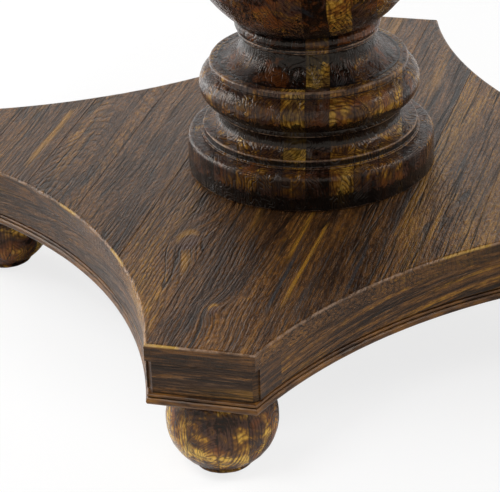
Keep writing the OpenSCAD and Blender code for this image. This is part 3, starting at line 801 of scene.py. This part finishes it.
# %% Turn the feet
FOOT_STRIP = 0.034
FOOT_TURNS = (-17.4, 51, 82, 113)
FOOT_TONES = ((0.9, 0.5, 0.75, 0.35), (0.3, 0.8, 0.45, 0.7), (0.6, 0.2, 0.85, 0.4), (0.55, 0.9, 0.3, 0.15))
FOOT_LOOK = {"glow": 0.12, "patchy": 2.7, "flecks": 0.4}
JOINT_ASIDE = 0.006
for number, corner in enumerate(CORNERS):
    node = f"bun_foot_{corner}"
    low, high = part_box(node)
    centre = ((low.x + high.x) / 2, (low.y + high.y) / 2)
    joint = (centre[0] - JOINT_ASIDE, centre[1])
    turn, tones = math.radians(FOOT_TURNS[number]), FOOT_TONES[number]
    finish = strip_finish(f"foot_{corner}", FOOT_STRIP, turn, 5 + number, tones, joint, **FOOT_LOOK)
    # The feet's downward faces get the default painted shade.
    turned_piece(f"turned_foot_{corner}", node, finish, "foot_wood", 60 + number, centre, columns=160)

# %% [markdown]
# ## Bead moulding
# Under the frieze runs a moulding of two beads, a large one below and a fine one above, mitred at the
# corners. Its section is one line: a flat underside, half a circle, half a smaller circle, and a flat
# top. That line is carried along the outline. On a corner face the path is straight. On a hollow side
# it is an arc about the same centre as the side, so a point at depth s of the section moves on a circle
# of radius R + s. At both ends the path stops where the mitre plane crosses that depth, which is what
# makes two neighbouring pieces meet.

# %% Section and paths of the moulding
bead_low, bead_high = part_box("corner_bead_front")
BEAD_H = bead_high.z - bead_low.z
BEAD_SET = bead_low.y + REACH
BEAD_W = bead_high.y - bead_low.y + BEAD_SET
BEAD_FOOT = bead_low.z


def bead_section(big=0.0044, small=0.0019, steps=18):
    """Depth and height along the section: a big bead from below, the notch over it, a small bead, the top."""
    root = BEAD_SET + big
    small_root = root - small / 2
    sweep = np.linspace(-math.pi / 2, 0.94 * math.pi / 2, steps)
    lower = np.stack([root - big * np.cos(sweep), big + big * np.sin(sweep)], axis=1)
    sweep = np.linspace(-0.9 * math.pi / 2, math.pi / 2, steps // 2)
    upper = np.stack([small_root - small * np.cos(sweep), BEAD_H - small + small * np.sin(sweep)], axis=1)
    return np.concatenate([[[BEAD_W, 0]], [[0.8 * BEAD_W, 0]], lower, upper, [[BEAD_W, BEAD_H]]])


inner_corner = ARC_C - math.sqrt((ARC_R + BEAD_W) ** 2 - (ARC_C - REACH + BEAD_W) ** 2)


def mitre(depth):
    """Half the length of a corner moulding at a depth behind the corner face: a straight line in plan."""
    return HALF_FACE + (inner_corner - HALF_FACE) * depth / BEAD_W


def straight_path(depth, t):
    """Points of the front corner's moulding: x runs from mitre to mitre, and y lies depth behind the face."""
    return mitre(depth) * (2 * t - 1), depth - REACH + 0 * t


def hollow_path(depth, t):
    """Points of the front right side's moulding: the polar angle about (c, -c) runs from mitre to mitre, and
    the radius is R + depth."""
    first = np.arctan2(ARC_C - REACH + depth, mitre(depth) - ARC_C)
    angle = first + (1.5 * math.pi - 2 * first) * t
    return ARC_C + (ARC_R + depth) * np.cos(angle), -ARC_C + (ARC_R + depth) * np.sin(angle)


def moulding(name, path, steps, turns, material, node):
    """The section carried along a path, closed at its back and both mitres, then turned by quarter turns.

    Ripples of about a tenth of a millimetre press it together in height, and fade towards the mitres."""
    section = bead_section()
    t = np.linspace(0, 1, steps)[:, None]
    x, y = path(section[:, 0], t)
    z = np.broadcast_to(BEAD_FOOT + section[:, 1], x.shape)
    grid = np.stack([x, y, z], axis=-1)
    worn = 1.2e-4 * (1 + ripples(grid.reshape(-1, 3), 0.02, turns)).clip(0, None).reshape(x.shape)
    grid[..., 2] -= worn * np.sin(math.pi * t) * np.sin(TAU * section[:, 1] / BEAD_H - math.pi)
    cos, sin = round(math.cos(QUARTER * turns)), round(math.sin(QUARTER * turns))
    points = (grid @ np.array([[cos, sin, 0], [-sin, cos, 0], [0, 0, 1]])).reshape(-1, 3)
    count = len(section)
    ends = [list(range(count)), list(range((steps - 1) * count, steps * count))]
    faces = tube_faces(steps, count)[:, ::-1].tolist()
    piece = add_piece(name, points, faces + [ends[0], ends[1][::-1]], material, "bead_wood", node)
    piece.data.set_sharp_from_angle(angle=math.radians(40))


# %% Carve the moulding
def bead_finish(name, seed):
    """Golden brown, patchy and finely streaked, with painted shade making the groove between the two beads
    nearly black.
    """
    f = Finish(name)
    place = f.place()
    cloud = f.noise(f.shift(f.stretch(place, (26, 26, 90)), (seed, 0.0, 0.0)), detail=3, roughness=0.65)
    fibre = f.noise(f.shift(f.stretch(place, (60, 60, 900)), (seed, 0.0, 0.0)), detail=3, roughness=0.6)
    up = (f.split(place)[2] - BEAD_FOOT) / BEAD_H
    shade = cloud * 0.8 + fibre * 0.35 - 0.16
    colour = f.ramp(shade, [(0.3, DARK), (0.42, BROWN), (0.56, WARM), (0.76, GOLD)])
    # Painted shade: the groove between the two beads turns nearly black.
    groove = f.band(abs_from(up, 0.72), 0.11, 0.02)
    colour = f.blend(groove * 0.85, colour, COAL)
    roughness = fibre * 0.25 + 0.2
    return f.surface(colour, roughness, fibre, 0.0004, **LACQUER)


for number, corner in enumerate(CORNERS):
    material = bead_finish(f"bead_{corner}", 3.1 * number)
    moulding(f"bead_{corner}", straight_path, 25, number, material, f"corner_bead_{corner}")
for number, side in enumerate(SIDES):
    material = bead_finish(f"bead_{side}", 15 + 3.1 * number)
    moulding(f"bead_{side}", hollow_path, 220, number, material, f"side_bead_{side}")
print("moulding pieces:", len(CORNERS) + len(SIDES))

# %% [markdown]
# ## Steel and felt
# The tie rod with its nuts and washers, the screws and the bolts are bare steel, and each foot stands
# on a felt disc. They hardly show, so their finishes are short.

# %% Finish the fittings
def steel_finish():
    f = Finish("steel")
    cloud = f.noise(f.stretch(f.place(), (140, 140, 140)), detail=3)
    colour = f.ramp(cloud, [(0.35, (0.36, 0.35, 0.33)), (0.7, (0.52, 0.51, 0.49))])
    return f.surface(colour, cloud * 0.25 + 0.22, cloud, 0.0001, Metallic=1.0)


def felt_finish():
    f = Finish("felt")
    fluff = f.noise(f.stretch(f.place(), (900, 900, 900)), detail=4, roughness=0.7)
    return f.surface(f.ramp(fluff, [(0.3, COAL), (0.7, BROWN)]), 0.95, fluff, 0.0006)


steel = steel_finish()
for node in ("tie_rod", "tie_rod_nuts", "tie_rod_washers", "bearer_screws", "foot_bolts"):
    finish_node(node, steel)
finish_node("foot_glides", felt_finish())
print("steel and felt finished")

# %% [markdown]
# ## Light
# The table stands on a white floor in a white room. The world is white to the camera and in mirrors,
# but as a lamp it gives only a little of that, because light from all sides would wash out the dark
# wood. Wide soft lamps do the rest. The one at the left side stands lower than the table top, and the
# low one not far above it, or the base would lie in the top's shade. The two behind the table light
# the wood but aren't mirrored, as the flat top would throw them straight back at a low camera. The
# floor is matte to every ray of light, and for the camera alone it is part glow, which keeps it white
# to the edge of the picture and still lets the shadow show.

# %% Floor, world and lamps
def aim(place, target, roll=0.0):
    """A camera or lamp at place that looks at target, rolled about its line of sight."""
    turn = (Vector(target) - Vector(place)).to_track_quat("-Z", "Y").to_matrix().to_4x4()
    return Matrix.Translation(place) @ turn @ Matrix.Rotation(roll, 4, "Z")


def floor_finish():
    f = Finish("studio_floor")
    seen = f.add("LightPath", out="Is Camera Ray")
    matte = f.add("BsdfDiffuse", inputs={"Color": (0.9, 0.9, 0.9, 1)})
    glow = f.add("Emission", inputs={"Color": (1, 1, 1, 1), "Strength": 1.0})
    return f.end(f.add("MixShader", inputs={0: seen * 0.79, 1: matte, 2: glow}))


def white_world(lamp_share):
    """White to the camera and in mirrors; its light on matte surfaces is lamp_share of that."""
    f = Finish("white_room", "worlds")
    rays = f.add("LightPath").out.node.outputs
    seen = Value(f, rays["Is Camera Ray"])
    for kind in ("Is Glossy Ray", "Is Transmission Ray"):
        seen = seen.math("MAXIMUM", Value(f, rays[kind]))
    strength = seen * (1 - lamp_share) + lamp_share
    return f.end(f.add("Background", inputs={"Color": (1, 1, 1, 1), "Strength": strength}), "OutputWorld")


def softbox(name, place, target, size, power, mirrored=True):
    """A rectangular lamp. One that isn't mirrored lights the wood but leaves no glare in the lacquer."""
    lamp = bpy.data.lights.new(name, "AREA")
    lamp.shape = "RECTANGLE"
    lamp.size, lamp.size_y = size
    lamp.energy = power
    piece = bpy.data.objects.new(name, lamp)
    piece.matrix_world = aim(place, target)
    piece.visible_glossy = mirrored
    bpy.context.scene.collection.objects.link(piece)


FLOOR_HALF = 8.0
ground = bpy.data.meshes.new("floor")
square = [(x * FLOOR_HALF, y * FLOOR_HALF, 0) for x, y in ((-1, -1), (1, -1), (1, 1), (-1, 1))]
ground.from_pydata(square, [], [(0, 1, 2, 3)])
ground.materials.append(floor_finish())
floor = bpy.data.objects.new("floor", ground)
bpy.context.scene.collection.objects.link(floor)
bpy.context.scene.world = white_world(0.15)
softbox("high_front", (-0.7, -2.0, 3.3), (0, -0.2, 0.2), (1.4, 1.0), 75)
softbox("high_left", (-2.7, 0.3, 2.3), (0, 0, 0.3), (1.4, 1.4), 40)
softbox("high_right", (2.7, 0.5, 2.3), (0, 0, 0.3), (1.4, 1.4), 50)
softbox("low_left", (-2.5, -0.3, 1.2), (0, 0, 0.25), (0.8, 1.4), 26)
softbox("side_left", (-2.2, 0.9, 0.4), (0, 0, 0.25), (1.2, 0.6), 8)
softbox("back_left", (-2.1, 1.6, 1.5), (0, 0, 0.25), (1.0, 1.0), 22, mirrored=False)
softbox("back_right", (2.2, 1.5, 1.5), (0, 0, 0.25), (1.0, 1.0), 28, mirrored=False)

print("lamps:", sorted(lamp.name for lamp in bpy.data.lights))

# %% [markdown]
# ## Camera
# The camera looks down on the foot of the table, a little to the right of one corner of the platform.
# Four things set it: the point it looks at, the direction and distance from there, the lens, and a
# slight roll.

# %% Camera
camera_data = bpy.data.cameras.new("camera")
camera_data.sensor_width = 36
camera_data.lens = 165.37
ROLL = -0.0407
camera = bpy.data.objects.new("camera", camera_data)
TARGET = Vector((-0.011, -0.244, 0.180))
AZIMUTH, ELEVATION, DISTANCE = math.radians(16.42), math.radians(26.82), 2.613
flat = math.cos(ELEVATION)
toward = Vector((math.sin(AZIMUTH) * flat, -math.cos(AZIMUTH) * flat, math.sin(ELEVATION)))
camera.matrix_world = aim(TARGET + DISTANCE * toward, TARGET, ROLL)
bpy.context.scene.collection.objects.link(camera)
bpy.context.scene.camera = camera
bpy.context.scene.view_settings.view_transform = "Standard"
print("camera at", [round(part, 3) for part in camera.matrix_world.translation])
